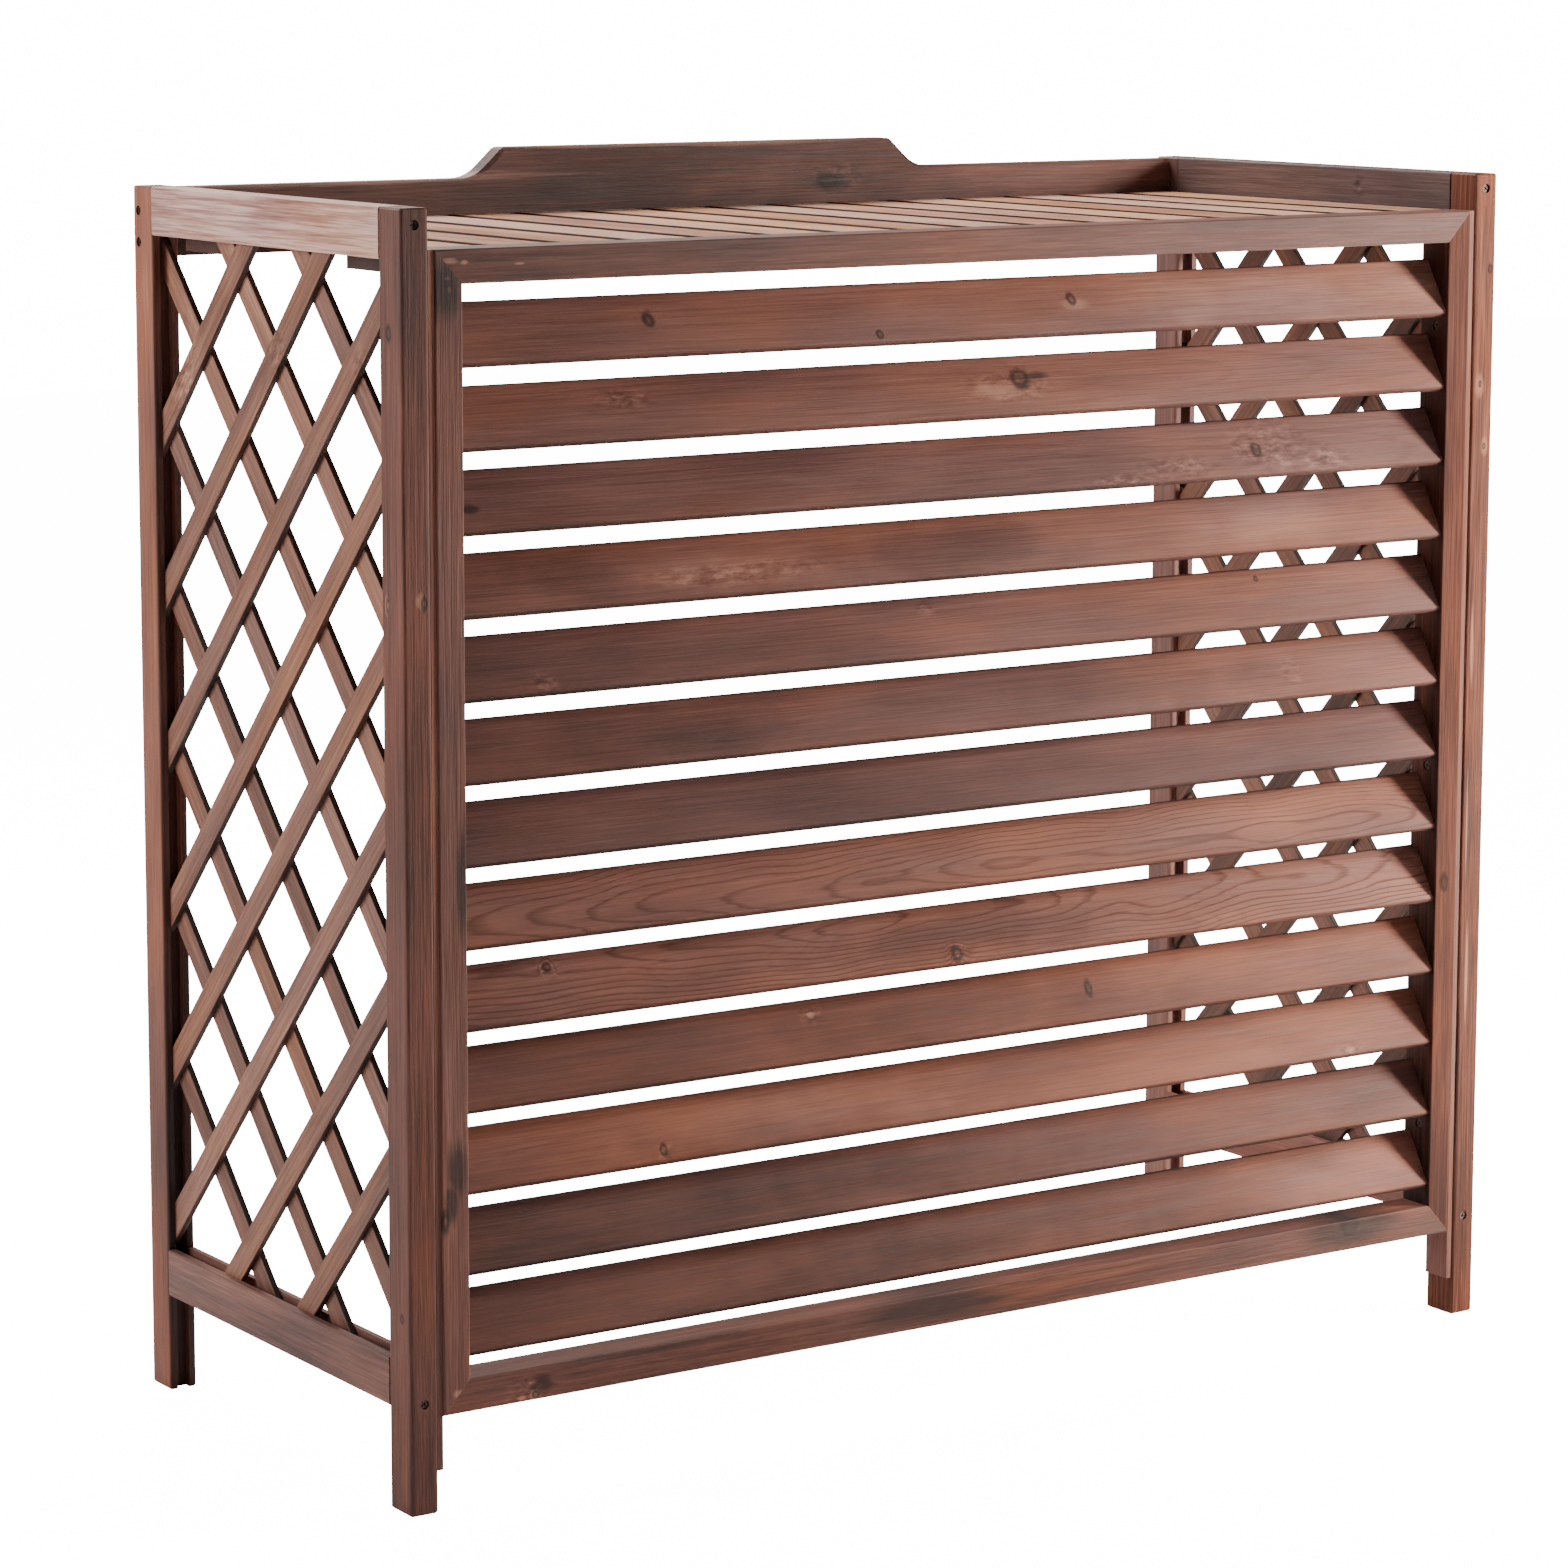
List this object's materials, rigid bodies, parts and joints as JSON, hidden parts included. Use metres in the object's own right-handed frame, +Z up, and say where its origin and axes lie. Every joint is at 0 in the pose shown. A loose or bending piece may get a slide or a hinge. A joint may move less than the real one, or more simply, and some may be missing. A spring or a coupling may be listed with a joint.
{
  "type": "air conditioner screen",
  "caption": "Free-standing timber screen that covers an outdoor air conditioner unit: fixed louvre front, lattice sides, slatted shelf top, open back and bottom.",
  "frame": {"origin": "on the ground, at the middle of the plan", "axes": "+X along the front to the right as seen from the front, +Y from the louvre front to the open back, +Z up"},
  "size_m": [1.1, 0.45, 1.0485],
  "materials": {
    "frame_wood": "charred and brushed softwood, oiled matt",
    "louvre_wood": "charred and brushed softwood, oiled matt",
    "lattice_wood": "charred and brushed softwood, oiled matt",
    "deck_wood": "charred and brushed softwood, oiled matt",
    "dark_screw": "blackened zinc"
  },
  "bodies": {
    "root": {"back_left_post": "frame_wood", "back_right_post": "frame_wood", "backboard": "frame_wood", "backboard_screws": "dark_screw", "deck_front_batten": "deck_wood", "deck_rear_batten": "deck_wood", "deck_slat_01": "deck_wood", "deck_slat_02": "deck_wood", "deck_slat_03": "deck_wood", "deck_slat_04": "deck_wood", "deck_slat_05": "deck_wood", "deck_slat_06": "deck_wood", "deck_slat_07": "deck_wood", "deck_slat_08": "deck_wood", "deck_slat_09": "deck_wood", "deck_slat_10": "deck_wood", "deck_slat_11": "deck_wood", "deck_slat_12": "deck_wood", "deck_slat_13": "deck_wood", "deck_slat_14": "deck_wood", "deck_slat_15": "deck_wood", "deck_slat_16": "deck_wood", "frame_screws": "dark_screw", "front_left_post": "frame_wood", "front_right_post": "frame_wood", "left_bottom_rail": "frame_wood", "left_inner_laths": "lattice_wood", "left_outer_laths": "lattice_wood", "left_packing_strip": "frame_wood", "left_top_rail": "frame_wood", "louvre_frame_bottom_rail": "louvre_wood", "louvre_frame_left_stile": "louvre_wood", "louvre_frame_right_stile": "louvre_wood", "louvre_frame_top_rail": "louvre_wood", "louvre_slat_01": "louvre_wood", "louvre_slat_02": "louvre_wood", "louvre_slat_03": "louvre_wood", "louvre_slat_04": "louvre_wood", "louvre_slat_05": "louvre_wood", "louvre_slat_06": "louvre_wood", "louvre_slat_07": "louvre_wood", "louvre_slat_08": "louvre_wood", "louvre_slat_09": "louvre_wood", "louvre_slat_10": "louvre_wood", "louvre_slat_11": "louvre_wood", "louvre_slat_12": "louvre_wood", "louvre_slat_13": "louvre_wood", "rail_screws": "dark_screw", "right_bottom_rail": "frame_wood", "right_inner_laths": "lattice_wood", "right_outer_laths": "lattice_wood", "right_packing_strip": "frame_wood", "right_top_rail": "frame_wood"}
  },
  "joints": []
}
